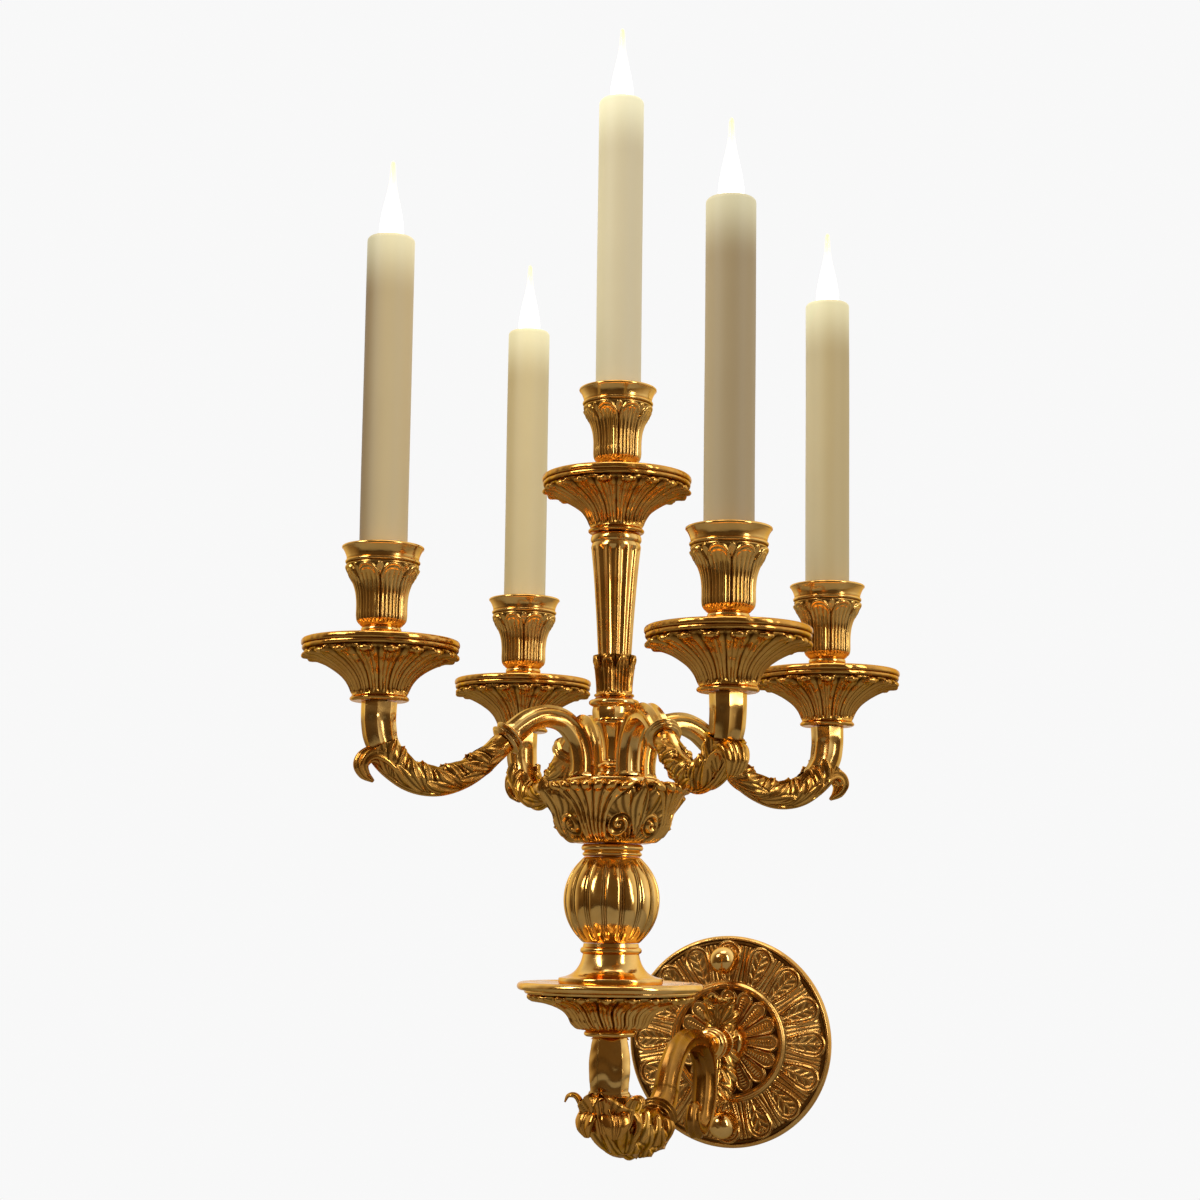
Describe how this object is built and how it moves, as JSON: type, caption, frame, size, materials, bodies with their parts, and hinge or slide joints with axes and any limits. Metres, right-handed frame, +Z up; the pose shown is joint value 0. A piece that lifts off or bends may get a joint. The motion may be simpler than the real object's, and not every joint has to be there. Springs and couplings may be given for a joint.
{
  "type": "wall sconce candle holder",
  "caption": "Gilt wall sconce with scrolled acanthus branches, a raised central column, drip pans and sockets that carry lift-off candle sleeves over screw-in flame bulbs.",
  "frame": {"origin": "centre of the wall plate's flat back face, on the wall", "axes": "+Z up, +Y into the wall, so the sconce's front faces -Y and +X is to the right seen from the front"},
  "size_m": [0.2566, 0.3333, 0.6083],
  "materials": {
    "polished_gilt": "polished gilding over cast bronze",
    "chased_gilt": "chased and toned gilding, dark in the recesses",
    "fixing_steel": "plain bright steel",
    "ivory_sleeve": "satin ivory wax-look sleeve",
    "lampholder_white": "moulded lampholder",
    "glowing_glass": "frosted flame glass, lit"
  },
  "bodies": {
    "root": {"bracket_arm": "polished_gilt", "bracket_boss": "polished_gilt", "stem_post": "polished_gilt", "lower_pan": "polished_gilt", "stem_foot": "polished_gilt", "ribbed_ball": "polished_gilt", "neck_ring": "polished_gilt", "basket_lid": "polished_gilt", "lid_nut": "polished_gilt", "column_vase": "polished_gilt", "column_drum": "polished_gilt", "fluted_column": "polished_gilt", "branch_front_left": "polished_gilt", "branch_front_right": "polished_gilt", "branch_back_right": "polished_gilt", "branch_back_left": "polished_gilt", "wall_plate": "chased_gilt", "column_leaf_cup": "chased_gilt", "bracket_elbow_leaf": "chased_gilt", "bracket_back_leaf": "chased_gilt", "lower_leaf_flare": "chased_gilt", "acanthus_basket": "chased_gilt", "branch_leaf_front_left": "chased_gilt", "branch_leaf_front_right": "chased_gilt", "branch_leaf_back_right": "chased_gilt", "branch_leaf_back_left": "chased_gilt", "drip_pan_front_left": "chased_gilt", "drip_pan_front_right": "chased_gilt", "drip_pan_back_right": "chased_gilt", "drip_pan_back_left": "chased_gilt", "drip_pan_centre": "chased_gilt", "socket_front_left": "chased_gilt", "socket_front_right": "chased_gilt", "socket_back_right": "chased_gilt", "socket_back_left": "chased_gilt", "socket_centre": "chased_gilt", "wall_stud_upper": "fixing_steel", "wall_stud_lower": "fixing_steel", "centre_tube": "fixing_steel", "lampholder_front_left": "lampholder_white", "lampholder_front_right": "lampholder_white", "lampholder_back_right": "lampholder_white", "lampholder_back_left": "lampholder_white", "lampholder_centre": "lampholder_white"},
    "sleeve_front_left": {"candle_sleeve_front_left": "ivory_sleeve"},
    "sleeve_front_right": {"candle_sleeve_front_right": "ivory_sleeve"},
    "sleeve_back_right": {"candle_sleeve_back_right": "ivory_sleeve"},
    "sleeve_back_left": {"candle_sleeve_back_left": "ivory_sleeve"},
    "sleeve_centre": {"candle_sleeve_centre": "ivory_sleeve"},
    "lamp_front_left": {"bulb_front_left": "glowing_glass"},
    "lamp_front_right": {"bulb_front_right": "glowing_glass"},
    "lamp_back_right": {"bulb_back_right": "glowing_glass"},
    "lamp_back_left": {"bulb_back_left": "glowing_glass"},
    "lamp_centre": {"bulb_centre": "glowing_glass"},
    "nut_upper": {"ball_nut_upper": "polished_gilt"},
    "nut_lower": {"ball_nut_lower": "polished_gilt"}
  },
  "joints": [
    {"name": "sleeve_lift_front_left", "type": "slide", "parent": "root", "child": "sleeve_front_left", "axis": [0, 0, 1], "range_m": [0, 0.23]},
    {"name": "sleeve_lift_front_right", "type": "slide", "parent": "root", "child": "sleeve_front_right", "axis": [0, 0, 1], "range_m": [0, 0.23]},
    {"name": "sleeve_lift_back_right", "type": "slide", "parent": "root", "child": "sleeve_back_right", "axis": [0, 0, 1], "range_m": [0, 0.23]},
    {"name": "sleeve_lift_back_left", "type": "slide", "parent": "root", "child": "sleeve_back_left", "axis": [0, 0, 1], "range_m": [0, 0.23]},
    {"name": "sleeve_lift_centre", "type": "slide", "parent": "root", "child": "sleeve_centre", "axis": [0, 0, 1], "range_m": [0, 0.23]},
    {"name": "lamp_turn_front_left", "type": "hinge", "parent": "root", "child": "lamp_front_left", "pos_m": [-0.08945, -0.29445, 0.4], "axis": [0, 0, 1], "continuous": true},
    {"name": "lamp_turn_front_right", "type": "hinge", "parent": "root", "child": "lamp_front_right", "pos_m": [0.08945, -0.29445, 0.4], "axis": [0, 0, 1], "continuous": true},
    {"name": "lamp_turn_back_right", "type": "hinge", "parent": "root", "child": "lamp_back_right", "pos_m": [0.08945, -0.11555, 0.4], "axis": [0, 0, 1], "continuous": true},
    {"name": "lamp_turn_back_left", "type": "hinge", "parent": "root", "child": "lamp_back_left", "pos_m": [-0.08945, -0.11555, 0.4], "axis": [0, 0, 1], "continuous": true},
    {"name": "lamp_turn_centre", "type": "hinge", "parent": "root", "child": "lamp_centre", "pos_m": [0, -0.205, 0.5], "axis": [0, 0, 1], "continuous": true},
    {"name": "nut_turn_upper", "type": "hinge", "parent": "root", "child": "nut_upper", "pos_m": [0, -0.012, 0.048], "axis": [0, 1, 0], "continuous": true},
    {"name": "nut_turn_lower", "type": "hinge", "parent": "root", "child": "nut_lower", "pos_m": [0, -0.012, -0.048], "axis": [0, 1, 0], "continuous": true}
  ]
}
